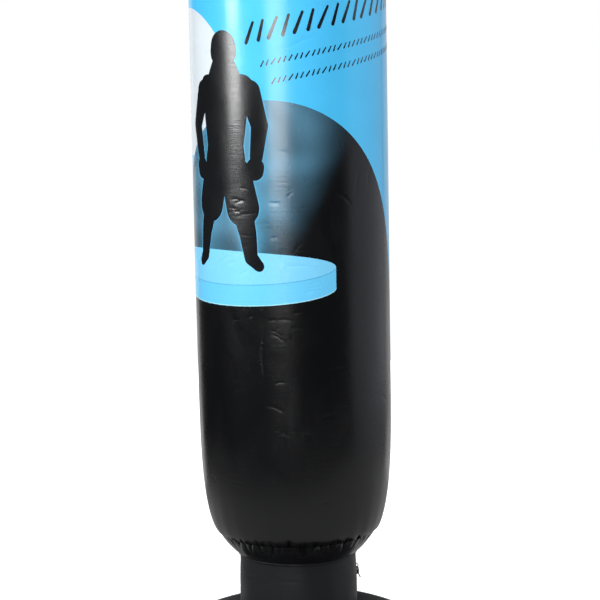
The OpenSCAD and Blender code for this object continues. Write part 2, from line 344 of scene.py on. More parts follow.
def arch_edge():
    """The edge as [round, height], from one side of the back seam to the other."""
    step, mean_radius = 3 * MM, 330 * MM
    reach = math.asin((BAND_Z - ARCH_Z) / ARCH_B)
    t = np.arange(math.pi - reach, reach, -step / mean_radius)
    arch = np.stack([ARCH_S + ARCH_A * np.cos(t), ARCH_Z + ARCH_B * np.sin(t)], 1)
    left = np.arange(-HALF_ROUND, arch[0, 0] - step, 3 * step)
    right = np.append(np.arange(arch[-1, 0] + step, HALF_ROUND - step, 3 * step), HALF_ROUND)
    return np.concatenate([level_line(left, BAND_Z), arch, level_line(right, BAND_Z)])


def in_ellipse(s, z, s0, z0, a, b):
    return ((s - s0) / a) ** 2 + ((z - z0) / b) ** 2 < 1


def under_arch(s, z):
    return in_ellipse(s, z, ARCH_S, ARCH_Z, ARCH_A, ARCH_B) | (z < BAND_Z)


def wall_grid():
    """Rows of points, close together near the welds and wider apart between them."""
    rows = [0.0]
    while rows[-1] < WALL_LEN / 2:
        near = rows[-1]
        rows.append(near + (1.1 + 4.6 * min(1, near / 0.09)) * MM)
    rows = np.array(rows[:-2])
    rows = np.concatenate([rows, WALL_LEN - rows[::-1]])
    found = []
    for k, along in enumerate(rows):
        near = min(along, WALL_LEN - along)
        columns = BAG_COLUMNS if near < 0.016 else 360 if near < 0.05 else 180
        s = (np.arange(columns) + 0.5 * (k % 2)) / columns * 2 * HALF_ROUND - HALF_ROUND
        clear = (s > -HALF_ROUND + MM) & (s < HALF_ROUND - MM)
        found.append(level_line(np.unique(np.concatenate([[-HALF_ROUND], s[clear], [HALF_ROUND]])), along))
    return np.concatenate(found)


def away_from(points, line, gap):
    """The points that stay clear of a line of other points."""
    keep = np.ones(len(points), bool)
    for start in range(0, len(line), 200):
        part = line[start:start + 200]
        close = (np.abs(points[:, None, :] - part[None, :, :]) < gap).all(2).any(1)
        keep &= ~close
    return points[keep]


def triangles(points, chains):
    """Triangles between points that keep every chain of points as edges."""
    every, edges, count = [points], [], len(points)
    for chain, closed in chains:
        n = len(chain)
        edges += [(count + i, count + (i + 1) % n) for i in range(n if closed else n - 1)]
        every.append(chain)
        count += n
    every = np.concatenate(every)
    result = delaunay_2d_cdt([Vector(p) for p in every * 1000], edges, [], 0, 1e-7)
    spots = np.array([tuple(v) for v in result[0]]) / 1000
    return spots, np.array([f for f in result[2] if len(f) == 3])


FILM_BLACK = np.array([0.0036, 0.0038, 0.0044])
HAZE_BLUE = np.array([0.110, 0.300, 0.448])
DISC_BLACK = np.array([0.0050, 0.0052, 0.0060])
SKY_BLUE = np.array([0.072, 0.520, 0.900])
GLOW_BLUE = np.array([0.085, 0.360, 0.560])


def haze_cover(s, z):
    """How much of the light ink lies on a place: all of it beside the boxer, none on the plain black."""
    end = 26 * MM + 0.55 * (z - 0.80)
    across = 1 - smooth(s, end - 105 * MM, end)
    return across * smooth(s, -330 * MM, -150 * MM) * smooth(z, 690 * MM, 850 * MM)


def haze(s, z):
    """The black print's soft colour: a steel-blue haze under the arch and a glow round the boxer."""
    cloud = 0.5 + 0.5 * np.sin(s * 40 + 2.2 * np.sin(z * 31)) * np.cos(z * 52 + 1.4 + 2.0 * np.sin(s * 23))
    fade = 1 - 0.3 * smooth(z, 0.93, 0.98)
    amount = np.clip(haze_cover(s, z) * fade * (0.42 + 0.50 * cloud), 0, 1)[:, None]
    glow = np.exp(-np.maximum(limbs_distance(s, z), 0) / (7 * MM)) * (z > 745 * MM)
    glow = np.clip(0.8 * glow * (0.55 + 0.45 * smooth(s, -110 * MM, -60 * MM)), 0, 1)[:, None]
    colour = FILM_BLACK * (1 - amount) + HAZE_BLUE * amount
    return colour * (1 - glow) + GLOW_BLUE * glow


# ---------------- print on the wall

# A plain boxer's shape from round-ended limbs: (round, height, radius) at both ends, in millimetres
FIGURE = [
    ((-104, 1076, 25), (-104, 1083, 24)),  # head
    ((-104, 1064, 21), (-104, 1040, 33)),  # neck
    ((-138, 1024, 19), (-71, 1024, 19)),  # shoulders
    ((-105, 1006, 45), (-106, 940, 36)),  # body
    ((-151, 1018, 17), (-172, 968, 13)),  # upper arms
    ((-59, 1018, 17), (-44, 968, 13)),
    ((-172, 968, 13), (-161, 922, 10)),  # forearms
    ((-44, 968, 13), (-50, 922, 10)),
    ((-160, 908, 14), (-158, 902, 14)),  # gloves
    ((-52, 908, 14), (-53, 902, 14)),
    ((-106, 930, 37), (-107, 905, 41)),  # hips
    ((-127, 896, 27), (-138, 853, 28)),  # shorts
    ((-85, 896, 27), (-75, 848, 28)),
    ((-139, 850, 17), (-150, 812, 13)),  # legs
    ((-75, 846, 18), (-66, 808, 14)),
    ((-150, 812, 13), (-155, 778, 10)),
    ((-66, 808, 14), (-62, 777, 11)),
    ((-156, 775, 10), (-165, 764, 7)),  # boots
    ((-61, 774, 11), (-49, 762, 8)),
]


def limb_distance(s, z, limb):
    """Distance from a round-ended tapered limb, below zero inside it."""
    (s0, z0, r0), (s1, z1, r1) = [[v * MM for v in end] for end in limb]
    run = np.array([s1 - s0, z1 - z0])
    t = np.clip(((s - s0) * run[0] + (z - z0) * run[1]) / (run @ run), 0, 1)
    return np.hypot(s - s0 - t * run[0], z - z0 - t * run[1]) - (r0 + (r1 - r0) * t)


def limbs_distance(s, z, limbs=FIGURE):
    return np.min([limb_distance(s, z, limb) for limb in limbs], axis=0)


def limb_outline(limb, grow=0.0, step=2.5 * MM):
    """The outline of one limb: two round ends and the straight sides that touch both."""
    (s0, z0, r0), (s1, z1, r1) = [[v * MM for v in end] for end in limb]
    r0, r1 = r0 + grow, r1 + grow
    long = math.hypot(s1 - s0, z1 - z0)
    way = math.atan2(z1 - z0, s1 - s0)
    lean = math.acos(max(-1, min(1, (r0 - r1) / long)))

    def arc(s, z, r, start, end):
        t = np.linspace(start, end, max(4, int(r * (end - start) / step)))
        return np.stack([s + r * np.cos(t), z + r * np.sin(t)], 1)

    far = arc(s1, z1, r1, way - lean, way + lean)
    near = arc(s0, z0, r0, way + lean, way + TURN - lean)
    side = np.linspace(0, 1, max(3, int(long / step)))[1:-1, None]
    return np.concatenate([far, far[-1] + (near[0] - far[-1]) * side,
                           near, near[-1] + (far[0] - near[-1]) * side])


def ellipse(s, z, a, b, start=0.0, end=TURN, step=3 * MM):
    t = np.linspace(start, end, int(a * abs(end - start) / step), endpoint=abs(end - start) < TURN - 0.01)
    return np.stack([s + a * np.cos(t), z + b * np.sin(t)], 1)


def printed(name, chains, keep, layer, material):
    """One colour of ink on the film: the outlines' inside, where keep says so, lifted to its own layer."""
    line = np.concatenate([chain for chain, _ in chains])
    low, high = line.min(0), line.max(0)
    step, line_gap = 4.5 * MM, 1.2 * MM
    s, z = np.meshgrid(np.arange(low[0], high[0], step), np.arange(low[1], high[1], step))
    s[1::2] += step / 2
    marks = crease_points()
    marks[:, 1] = np.interp(marks[:, 1], WALL_ALONG, WALL_HEIGHT)
    within = ((marks > low) & (marks < high)).all(1)
    inside = np.concatenate([np.stack([s.ravel(), z.ravel()], 1), marks[within]])
    inside = away_from(inside[keep(*inside.T)], line, line_gap)
    spots, faces = triangles(inside, chains)
    faces = faces[keep(*spots[faces].mean(1).T)]
    lift = (0.18 + 0.09 * layer) * MM
    points = wall_points(spots[:, 0], along_of(spots[:, 1]), lift)
    film_piece(name, points, faces, "bag", material, "printed_film", thickness=INK)


PLATE_S, PLATE_Z, PLATE_A, PLATE_B, PLATE_H = -120 * MM, 758 * MM, 187 * MM, 26 * MM, 31 * MM
MOON_S, MOON_Z, MOON_R = -202 * MM, 1031 * MM, 110 * MM


def on_plate(s, z):
    return in_ellipse(s, z, PLATE_S, PLATE_Z, PLATE_A, PLATE_B)


def arch_part(low_s, high_s):
    edge = arch_edge()
    return edge[(edge[:, 1] > BAND_Z + MM) & (edge[:, 0] > low_s) & (edge[:, 0] < high_s)]


def print_moon(material):
    def keep(s, z):
        return (np.hypot(s - MOON_S, z - MOON_Z) < MOON_R) & ~under_arch(s, z)
    circle = ellipse(MOON_S, MOON_Z, MOON_R, MOON_R)
    edge = arch_part(MOON_S - MOON_R, MOON_S + MOON_R)
    printed("print_moon", [(circle, True), (edge, False)], keep, 0, material)


def print_band(name, low, high, layer, material):
    """A band along the plate's front edge, between two heights of its middle."""
    edges = [ellipse(PLATE_S, z, PLATE_A, PLATE_B, math.pi, TURN) for z in (low, high)]

    def keep(s, z):
        across = 1 - ((s - PLATE_S) / PLATE_A) ** 2
        drop = PLATE_B * np.sqrt(np.clip(across, 0, 1))
        return (across > 0) & (z > low - drop) & (z < high - drop)
    printed(name, [(np.concatenate([edges[0], edges[1][::-1]]), True)], keep, layer, material)


def print_plate(top, side, line, rim):
    low, thick = PLATE_Z - PLATE_H, 1.3 * MM
    outline = ellipse(PLATE_S, PLATE_Z, PLATE_A, PLATE_B)
    printed("print_plate_top", [(outline, True)], on_plate, 0, top)
    print_band("print_plate_side", low, PLATE_Z, 0, side)
    print_band("print_plate_line", low, low + thick, 1, line)
    print_band("print_plate_rim", PLATE_Z, PLATE_Z + thick, 1, rim)


def print_figure(material, rim_material):
    outlines = [(limb_outline(limb), True) for limb in FIGURE]
    printed("print_boxer", outlines, lambda s, z: limbs_distance(s, z) < 0, 2, material)
    grow = 1.5 * MM
    edge = arch_part(-200 * MM, -20 * MM)
    plate = ellipse(PLATE_S, PLATE_Z, PLATE_A, PLATE_B, 0.2, math.pi - 0.2)

    def keep(s, z):
        distance = limbs_distance(s, z)
        return (distance > 0) & (distance < grow) & under_arch(s, z) & ~on_plate(s, z) & (z > PLATE_Z)
    outlines += [(limb_outline(limb, grow), True) for limb in FIGURE]
    printed("print_boxer_rim", outlines + [(edge, False), (plate, False)], keep, 1, rim_material)


def stroke_row(s, z, lengths, gap, tall, radius, rise):
    """Slanted brush strokes side by side along a rising line, each as a limb."""
    row = []
    for length in lengths:
        row.append(((s, z, radius), (s + length, z + tall + rise * length, radius * 0.72)))
        s += gap + length
        z += rise * (gap + length)
    return row


def print_strokes(material):
    rise = 0.19
    bold = [11, 7, 13, 9, 12, 8, 14, 9, 12, 7, 13, 10, 12, 8, 13, 9]
    for name, row in (
        ("print_strokes_bold", stroke_row(-62, 1088, bold, 8, 27, 2.7, rise)),
        ("print_strokes_middle", stroke_row(-40, 1054, [4, 3, 6, 4, 3, 5] * 6, 4.2, 7, 1.15, rise)),
        ("print_strokes_low", stroke_row(-24, 1029, [5, 3, 4, 6, 3, 4] * 6, 4.2, 7, 1.15, rise)),
    ):
        outlines = [(limb_outline(limb, step=1.5 * MM), True) for limb in row]
        printed(name, outlines, lambda s, z, row=row: limbs_distance(s, z, row) < 0, 0, material)


def build_wall(blue, black):
    """The tube's film in two parts that meet exactly along the edge of the black print."""
    edge = arch_edge()
    edge[:, 1] = along_of(edge[:, 1])
    inner_edge = edge[1:-1]
    grid = away_from(wall_grid(), inner_edge, 2.0 * MM)
    border = np.abs(np.abs(grid[:, 0]) - HALF_ROUND) < MM
    creases = away_from(crease_points(), inner_edge, 1.5 * MM)
    clear = np.abs(creases[:, 0]) < HALF_ROUND - 6 * MM
    spots, faces = triangles(np.concatenate([grid[border], grid[~border], creases[clear]]), [(edge, False)])
    spots[:, 0] = np.clip(spots[:, 0], -HALF_ROUND, HALF_ROUND)
    heights = np.interp(spots[:, 1], WALL_ALONG, WALL_HEIGHT)

    # the two sides of the back seam share their points
    left = np.where(spots[:, 0] < -HALF_ROUND + 1e-6)[0]
    right = np.where(spots[:, 0] > HALF_ROUND - 1e-6)[0]
    same = np.arange(len(spots))
    for k in right:
        same[k] = left[np.argmin(np.abs(spots[left, 1] - spots[k, 1]))]
    faces = same[faces]
    middle_s, middle_z = spots[faces, 0].mean(1), heights[faces].mean(1)
    spread = spots[faces, 0].max(1) - spots[faces, 0].min(1) > BAG_R     # triangles across the back seam
    dark = np.where(spread, middle_z < BAND_Z, under_arch(middle_s, middle_z))
    points = wall_points(spots[:, 0], spots[:, 1])
    folds = wall_folds(spots[:, 0] / BAG_R, spots[:, 1])
    # painted shade: both parts' colours darken, and their gloss drops, deep in the folds along the welds
    haze_and_fold_shade = with_fold_shade(haze(spots[:, 0], heights), folds)
    haze_and_fold_shade[:, 3] *= 0.46 + 0.54 * haze_cover(spots[:, 0], heights)       # light ink is glossier than black
    for name, shown, colours, material in (("bag_wall_black", dark, haze_and_fold_shade, black),
                                           ("bag_wall_blue", ~dark, with_fold_shade(SKY_BLUE, folds), blue)):
        film_piece(name, points, faces[shown], "bag", material, "printed_film", "bag_wall", colours=colours)


# ---------------- discs, neck and base

def lathe(angles, radius, height):
    """Points of a turned surface from arrays of radius and height, one row per ring."""
    return np.stack([radius * np.sin(angles), -radius * np.cos(angles), height], -1).reshape(-1, 3)


def ring_grid(rows, columns):
    """Angles and row values of a turned grid, as two arrays of rows by columns."""
    return np.meshgrid(np.arange(columns) / columns * TURN, rows)


def falling_faces(grid):
    """Faces of a turned grid whose rows go down or outwards."""
    return grid_faces(len(grid), grid.shape[1])[:, ::-1]


def build_bottom_disc(material):
    """From the puckered weld down to the neck, with pleats that run on from the weld's folds."""
    run = np.array([NECK_R + 1.6 * MM - SEAM_R, NECK_TOP_Z - SEAM_Z])
    long = np.hypot(*run)
    way = run / long
    out = np.array([-way[1], way[0]])
    rows = np.concatenate([np.arange(0, 20, 1.1), np.arange(20, long / MM, 2.2)]) * MM
    angle, away = ring_grid(np.append(rows, long), BAG_COLUMNS)
    u = away / long
    folds = pucker(LOW_PUCKERS, SEAM_R, angle, away, "down")
    off_weld = smooth(away, 0, 8 * MM)
    bulge = 4 * 2.2 * MM * u * (1 - u)
    shift = bulge + 0.5 * MM * wave_sum(FLUTES, angle, away) * off_weld * (1 - u)
    radius = SEAM_R + way[0] * away + out[0] * shift - folds * (1 - 0.35 * off_weld)
    height = SEAM_Z + way[1] * away + out[1] * shift + 0.5 * folds * off_weld
    # painted shade: the colours darken and the gloss drops deep in the pleats
    film_piece("bag_bottom_skin", lathe(angle, radius, height), falling_faces(angle), "bag", material,
               "black_film", "bag_bottom_disc", colours=with_fold_shade(DISC_BLACK, folds))


def build_neck_lip(material):
    """The weld's lip where the neck meets the disc: a thin rolled edge that stands proud of the neck."""
    section = np.array([(0.4, 3.2), (2.2, 2.6), (3.3, 1.0), (3.4, -0.6), (2.6, -1.6), (1.4, -1.7),
                        (0.5, -1.0), (0.2, 0.6)])
    angle, out = ring_grid(section[:, 0], LIP_COLUMNS)
    wobble = 0.25 * MM * wave_sum(waves(31, 5, (2, 26), (1, 2)), angle, 0 * angle)
    points = lathe(angle, NECK_R + out * MM + wobble * (out > 1),
                   NECK_TOP_Z + section[:, 1:] * MM + 0.6 * wobble)
    first = np.arange(LIP_COLUMNS)
    after = (first + 1) % LIP_COLUMNS
    last = (len(section) - 1) * LIP_COLUMNS
    close = np.stack([last + after, last + first, first, after], -1)
    obj = plain_object("neck_weld_lip", points, np.concatenate([falling_faces(angle), close]))
    attach(obj, "bag", material, "black_film", "neck_top_ring")


def neck_surface(angle, height):
    """The neck's film, slightly barrel-shaped, with soft slanting creases and the valve's weld mark."""
    u = (height - NECK_FOOT_Z) / (NECK_TOP_Z - NECK_FOOT_Z)
    radius = NECK_R + (NECK_MID_R - NECK_R) * np.sin(math.pi * np.clip(u, 0, 1)) + NECK_FLARE * (1 - u) ** 2
    ends = np.minimum(u, 1 - u)
    radius += 0.35 * MM * wave_sum(NECK_FLUTES, angle, height) * smooth(ends, 0, 0.25)
    for at, z0, half, way, depth in NECK_CREASES:
        x = turned_from(angle, at) * NECK_R
        y = height - z0
        run = x * math.cos(way) + y * math.sin(way)
        off = y * math.cos(way) - x * math.sin(way)
        fade = np.clip(1 - (run / half) ** 2, 0, 1) * smooth(ends, 0, 0.1)
        radius -= depth * np.exp(-(off / (2.2 * MM)) ** 2) * fade
    x = turned_from(angle, math.pi / 2 + VALVE_TURN) * NECK_R
    weld_mark = pressed(np.hypot(x, height - VALVE_Z), 11.5 * MM, 1.1 * MM)
    return radius + 0.45 * MM * weld_mark


NECK_FLUTES = waves(41, 7, (5, 22), (0.25, 0.6))
neck_rng = np.random.default_rng(42)
NECK_CREASES = [
    (neck_rng.uniform(0, TURN), neck_rng.uniform(0.21, 0.285), neck_rng.uniform(10, 26) * MM,
     neck_rng.normal(0, 0.5), neck_rng.uniform(0.15, 0.45) * MM)
    for _ in range(34)
]


def build_neck(material):
    """Two halves that meet where the neck bends."""
    for name, low, high, bodies in (("neck_skin_low", NECK_FOOT_Z, NECK_BEND_Z, ("base", "neck")),
                                    ("neck_skin_high", NECK_BEND_Z, NECK_TOP_Z, ("neck", "bag"))):
        angle, height = ring_grid(np.linspace(low, high, 26), NECK_COLUMNS)
        points = lathe(angle, neck_surface(angle, height), height)
        skin = film_object(name, points, grid_faces(*angle.shape))
        span(skin, material, "neck_sleeve")


def dome_height(r):
    return RIM_Z + DOME_H * np.sqrt(np.clip(1 - (r / BASE_R) ** 2, 0, 1))


RIM_START = math.radians(1.5)       # where on its ellipse the film leaves the rim
RIM_FOLD, RIM_REACH = 3.0 * MM, 34 * MM
RIM_PUCKERS = make_puckers(17, 84, RIM_FOLD, RIM_REACH, RIM_REACH)
RIM_WAVES = waves(19, 8, (7, 40), (1, 2))
BASE_FLUTES = waves(23, 9, (6, 30), (0.2, 0.6))


def quarter(end, count, power, wide, tall):
    """A quarter ellipse turned round the base: angle, angle on the ellipse, and outward direction."""
    rows = RIM_START + (math.radians(end) - RIM_START) * np.linspace(0, 1, count) ** power
    angle, t = ring_grid(rows, BASE_COLUMNS)
    out_r, out_z = np.cos(t) / wide, np.sin(t) / tall
    size = np.hypot(out_r, out_z)
    return angle, t, out_r / size, out_z / size


def rim_shift(angle, away, side):
    """How far the film stands off the plain ellipse near the welded rim."""
    pillow = RIM_FOLD * np.clip(1 - away / RIM_REACH, 0, 1) ** 1.2
    return (pillow - pucker(RIM_PUCKERS, BASE_R, angle, away, side)) * smooth(away, -1 * MM, 5 * MM)


def rim_points(outs, height):
    """The welded rim's wavy surface, in rings at the given distances out, in millimetres."""
    angle, out = ring_grid(np.array(outs) * MM, BASE_COLUMNS)
    wobble = 0.8 * MM * wave_sum(RIM_WAVES, angle, 0 * angle)
    return lathe(angle, BASE_R + out - 0.4 * MM, height + wobble * out / RIM_W)


def build_dome(material):
    """The tank's upper film, from the middle out to the welded rim."""
    angle, t, out_r, out_z = (part[::-1] for part in quarter(84, 80, 1.6, BASE_R, DOME_H))
    radius = BASE_R * np.cos(t)
    height = RIM_Z + DOME_H * np.sin(t)
    away = (t - RIM_START) * DOME_H * 1.25
    ruffle = 0.55 * MM * wave_sum(BASE_FLUTES, angle, radius) * np.exp(-away / 0.05)
    calm = smooth(radius, NECK_R + 22 * MM, NECK_R + 50 * MM)
    shift = (ruffle + rim_shift(angle, away, "up")) * calm
    points = np.concatenate([lathe(angle, radius + out_r * shift, height + out_z * shift),
                             rim_points([1.5, 3.5, 5.5, 7.0], RIM_Z + 0.6 * MM)])
    faces = falling_faces(points.reshape(-1, BASE_COLUMNS, 3))
    middle = points[faces].mean(1)
    from_filler = np.linalg.norm(np.cross(middle - np.array(FILLER_AT), np.array(FILLER_AXIS)), axis=1)
    faces = faces[(from_filler > 20 * MM) | (middle[:, 1] < 0)]
    film_piece("base_dome_skin", points, faces, "base", material, "black_film", "base_top_disc")


def build_belly(material):
    """The tank's lower film: flat on the floor, rounded up to the welded rim."""
    wide = BASE_R - FOOT_R
    angle, t, out_r, out_z = quarter(90, 64, 1.5, wide, RIM_Z)
    height = RIM_Z * (1 - np.sin(t))
    away = (t - RIM_START) * RIM_Z
    ruffle = 0.6 * MM * wave_sum(BASE_FLUTES, angle, height) * smooth(height, 0, 40 * MM)
    shift = ruffle + rim_shift(angle, away, "down")
    foot_angle, foot_r = ring_grid(np.array([120, 100, 80, 60, 40, 20, 5, 0.2]) * MM, BASE_COLUMNS)
    points = np.concatenate([
        rim_points([7.0, 5.5, 3.5, 1.5], RIM_Z - 0.2 * MM),
        lathe(angle, FOOT_R + wide * np.cos(t) + out_r * shift, np.maximum(height - out_z * shift, 0)),
        lathe(foot_angle, foot_r, 0 * foot_r),
    ])
    faces = falling_faces(points.reshape(-1, BASE_COLUMNS, 3))
    film_piece("base_belly_skin", points, faces, "base", material, "black_film", "base_bottom_disc")


def build_foot_collar(material):
    """The film collar that ties the neck to the dome, with a soft inner corner."""
    leg, wide, corner, lift = 8 * MM, 20 * MM, 5 * MM, 0.6 * MM
    start = NECK_R + NECK_FLARE + 1.2 * MM
    profile = [(start, dome_height(start) + leg), (start, dome_height(start) + corner + lift)]
    for t in np.linspace(0, 1, 9)[1:] * math.pi / 2:
        r = start + corner * (1 - math.cos(t))
        profile.append((r, dome_height(r) + lift + corner * (1 - math.sin(t))))
    for r in np.linspace(start + corner, start + wide, 9)[1:]:
        profile.append((r, dome_height(r) + 0.55 * MM))
    profile = np.array(profile)
    angle, radius = ring_grid(profile[:, 0], LIP_COLUMNS)
    fringe = np.linspace(0, 1, len(profile))[:, None] ** 4
    edge = 0.5 * MM * wave_sum(waves(51, 6, (4, 30), (1, 2)), angle, 0 * angle)
    points = lathe(angle, radius + edge * fringe, profile[:, 1:] + 0 * edge)
    film_piece("neck_foot_collar", points, falling_faces(angle), "base", material, "black_film",
               "neck_foot_ring")


def build_crown(material):
    """The top disc, drawn down by the folds along its weld."""
    rows = np.concatenate([np.arange(0, 22, 1.1), np.arange(22, 118, 3.2), [121, SEAM_R / MM - 0.2]]) * MM
    angle, away = ring_grid(rows, BAG_COLUMNS)
    u = 1 - away / SEAM_R
    folds = pucker(HIGH_PUCKERS, SEAM_R, angle, away, "down")
    off_weld = smooth(away, 0, 8 * MM)
    dome = (CROWN_Z - TOP_SEAM_Z) * (1 - u ** 2) ** 0.8
    ripple = 0.45 * MM * wave_sum(FLUTES, angle, away) * off_weld * np.exp(-away / 0.05)
    radius = SEAM_R * u - folds * (1 - off_weld)
    height = TOP_SEAM_Z + dome + ripple - 0.8 * folds * off_weld
    # painted shade: the colours darken and the gloss drops deep in the folds along the weld
    film_piece("bag_crown_skin", lathe(angle, radius, height), grid_faces(*angle.shape), "bag", material,
               "printed_film", "bag_top_disc", colours=with_fold_shade(SKY_BLUE, folds))


def build_back_tape(blue, black):
    """The tape over the upright weld, with the bar's cross marks, printed like the wall beside it."""
    half = 8 * MM
    across = np.linspace(-half, half, 15)
    for name, material, low, high in (
        ("bag_back_tape_low", black, along_of(SEAM_Z + 14 * MM), along_of(BAND_Z)),
        ("bag_back_tape_high", blue, along_of(BAND_Z), along_of(TOP_SEAM_Z - 14 * MM)),
    ):
        rows = np.linspace(low, high, int((high - low) / (1.7 * MM)))
        s, along = np.meshgrid(across, rows)
        wander = 0.6 * MM * np.sin(along * 9 + 1) + 0.3 * MM * np.sin(along * 31)
        inner = 1 - smooth(np.abs(s), 5.2 * MM, 6.2 * MM)
        marks = 0.12 * MM * inner * (0.5 + 0.5 * np.cos(along * TURN / (6.8 * MM)))
        lift = (0.75 * MM - marks).ravel()
        points = wall_points((s + wander + HALF_ROUND).ravel(), along.ravel(), lift)
        film_piece(name, points, grid_faces(*s.shape, wrap=False), "bag", material, "printed_film",
                   "bag_seam_strip", thickness=0.5 * MM)


def build_filler_weld(material):
    """Round patch welded to the dome round the filler, with two pressed rings."""
    side = Vector((1, 0, 0))
    up_hill = FILLER_AXIS.cross(side)
    angle, r = ring_grid(np.linspace(15.4, 31, 27) * MM, 120)
    x, y = (FILLER_AT[k] + r * np.cos(angle) * side[k] + r * np.sin(angle) * up_hill[k] for k in (0, 1))
    marks = pressed(r, 20 * MM, 0.9 * MM) + pressed(r, 27 * MM, 0.9 * MM)
    z = dome_height(np.hypot(x, y)) + 0.75 * MM - 0.35 * MM * marks
    points = np.stack([x, y, z], -1).reshape(-1, 3)
    film_piece("filler_weld_patch", points, falling_faces(angle), "base", material, "black_film",
               thickness=0.6 * MM)


# ---------------- leashes

def strap(path, side, width, thick):
    """Points and faces of a flat strap along a path, with softly rounded long edges."""
    across = Vector(side).normalized()
    section = [(-1, -0.6), (-0.9, -1), (0.9, -1), (1, -0.6), (1, 0.6), (0.9, 1), (-0.9, 1), (-1, 0.6)]
    points = []
    for i, p in enumerate(path):
        way = (path[min(i + 1, len(path) - 1)] - path[max(i - 1, 0)]).normalized()
        up = way.cross(across).normalized()
        points += [p + across * a * width / 2 + up * b * thick / 2 for a, b in section]
    n = len(section)
    last = len(points) - n
    faces = [(i + k, i + (k + 1) % n, i + n + (k + 1) % n, i + n + k)
             for i in range(0, last, n) for k in range(n)]
    return points, faces + [tuple(range(n))[::-1], tuple(range(last, last + n))]


def washer(centre, axis, inner, outer, thick):
    """Points and faces of a flat ring with rounded edges about an axis."""
    side = axis.orthogonal().normalized()
    other = axis.cross(side)
    half, bevel = thick / 2, thick * 0.3
    section = [(inner, bevel - half), (inner + bevel, -half), (outer - bevel, -half), (outer, bevel - half),
               (outer, half - bevel), (outer - bevel, half), (inner + bevel, half), (inner, half - bevel)]
    columns, n = 72, len(section)
    points, faces = [], []
    for k in range(columns):
        t = TURN * k / columns
        out = side * math.cos(t) + other * math.sin(t)
        points += [centre + out * r + axis * h for r, h in section]
        here, there = k * n, (k + 1) % columns * n
        faces += [(here + i, there + i, there + (i + 1) % n, here + (i + 1) % n) for i in range(n)]
    return points, faces


def joined(name, parts):
    """One object from several closed parts."""
    points, faces = [], []
    for part_points, part_faces in parts:
        faces += [tuple(len(points) + i for i in face) for face in part_faces]
        points += part_points
    return plain_object(name, points, faces)


def half_turn(count):
    """Angles between the ends of a strap's loop."""
    return np.linspace(0, math.pi, count)[1:-1]


def build_filler_leash(material):
    """Ring round the spout, a strap that loops up beside the cap, and a ring under the cap's button."""
    side = Vector((1, 0, 0))
    low, high, thick = 1.6 * MM, 18.0 * MM, 1.2 * MM
    reach, loop = 23.5 * MM, (18.0 - 1.6) / 2 * MM

    def spot(x, z):
        return FILLER_AT + side * x + FILLER_AXIS * z
    path = [spot(x, low) for x in np.linspace(17 * MM, reach, 5)]
    path += [spot(reach + loop * math.sin(t), low + loop * (1 - math.cos(t))) for t in half_turn(19)]
    path += [spot(x, high) for x in np.linspace(reach, 7 * MM, 8)]
    obj = joined("filler_strap", [
        washer(spot(0, low), FILLER_AXIS, 15.4 * MM, 18.6 * MM, thick),
        strap(path, FILLER_AXIS.cross(side), 6 * MM, thick),
        washer(spot(0, high), FILLER_AXIS, 5.2 * MM, 8.2 * MM, thick),
    ])
    span(obj, material, "filler_leash")


def build_valve_leash(material):
    """Ring round the valve's stem and a short strap that loops over to the plug's head."""
    out = Vector((math.cos(VALVE_TURN), math.sin(VALVE_TURN), 0))
    side = Vector((-out.y, out.x, 0))
    ring_at, head_at, thick = NECK_MID_R + 0.75 * MM, NECK_MID_R + 5.0 * MM, 0.9 * MM
    loop, loop_z = (head_at - ring_at) / 2, 9 * MM

    def spot(run, up):
        return Vector((0, 0, VALVE_Z)) + out * run + Vector((0, 0, up))
    path = [spot(ring_at, u * MM) for u in (6.5, 7.8, 9.0)]
    path += [spot(ring_at + loop * (1 - math.cos(t)), loop_z + loop * math.sin(t)) for t in half_turn(13)]
    path += [spot(head_at, u * MM) for u in (9.0, 8.0, 6.6)]
    obj = joined("valve_strap", [
        washer(spot(ring_at, 0), out, 5.75 * MM, 7.8 * MM, thick),
        strap(path, side, 3 * MM, thick),
    ])
    span(obj, material, "valve_leash")


# ---------------- materials

def fill(node, sockets):
    """Each named socket gets a value, or a link where the value is another node's output."""
    for key, value in sockets.items():
        if isinstance(value, bpy.types.NodeSocket):
            node.id_data.links.new(value, node.inputs[key])
        else:
            node.inputs[key].default_value = value


def node_maker(tree):
    """A helper that adds nodes to a tree and fills their sockets and other settings."""
    def add(kind, sockets={}, **settings):
        node = tree.nodes.new(kind)
        for key, value in settings.items():
            setattr(node, key, value)
        fill(node, sockets)
        return node
    return add


def shader(name):
    """A new material, its Principled shader, a helper that adds nodes, and the object's own coordinates."""
    material = bpy.data.materials.new(name)
    material.use_nodes = True
    add = node_maker(material.node_tree)
    where = add("ShaderNodeTexCoord").outputs["Object"]
    return material, material.node_tree.nodes["Principled BSDF"], add, where


def noise(add, where, scale, detail, stretch=(1, 1, 1), distortion=0.0):
    mapping = add("ShaderNodeMapping", {"Vector": where, "Scale": stretch})
    return add("ShaderNodeTexNoise", {
        "Vector": mapping.outputs["Vector"], "Scale": scale, "Detail": detail, "Roughness": 0.55,
        "Distortion": distortion}).outputs["Fac"]


def ranged(add, value, low, high, to_low, to_high):
    return add("ShaderNodeMapRange", {
        "Value": value, "From Min": low, "From Max": high, "To Min": to_low, "To Max": to_high,
    }).outputs["Result"]


def colour_mix(add, factor, a, b, blend_type="MIX"):
    mix = add("ShaderNodeMix", {"Factor": factor, "A": a, "B": b}, data_type="RGBA", blend_type=blend_type)
    return mix.outputs["Result"]


def shade(colour, share):
    return [min(1, c * share) for c in colour] + [1]


def bumps(add, layers):
    """A chain of bump nodes for layers of (height, strength, distance), as a shader's Normal socket."""
    normal = {}
    for height, strength, distance in layers:
        bump = add("ShaderNodeBump", {
            "Height": height, "Strength": strength, "Distance": distance, **normal})
        normal = {"Normal": bump.outputs["Normal"]}
    return normal


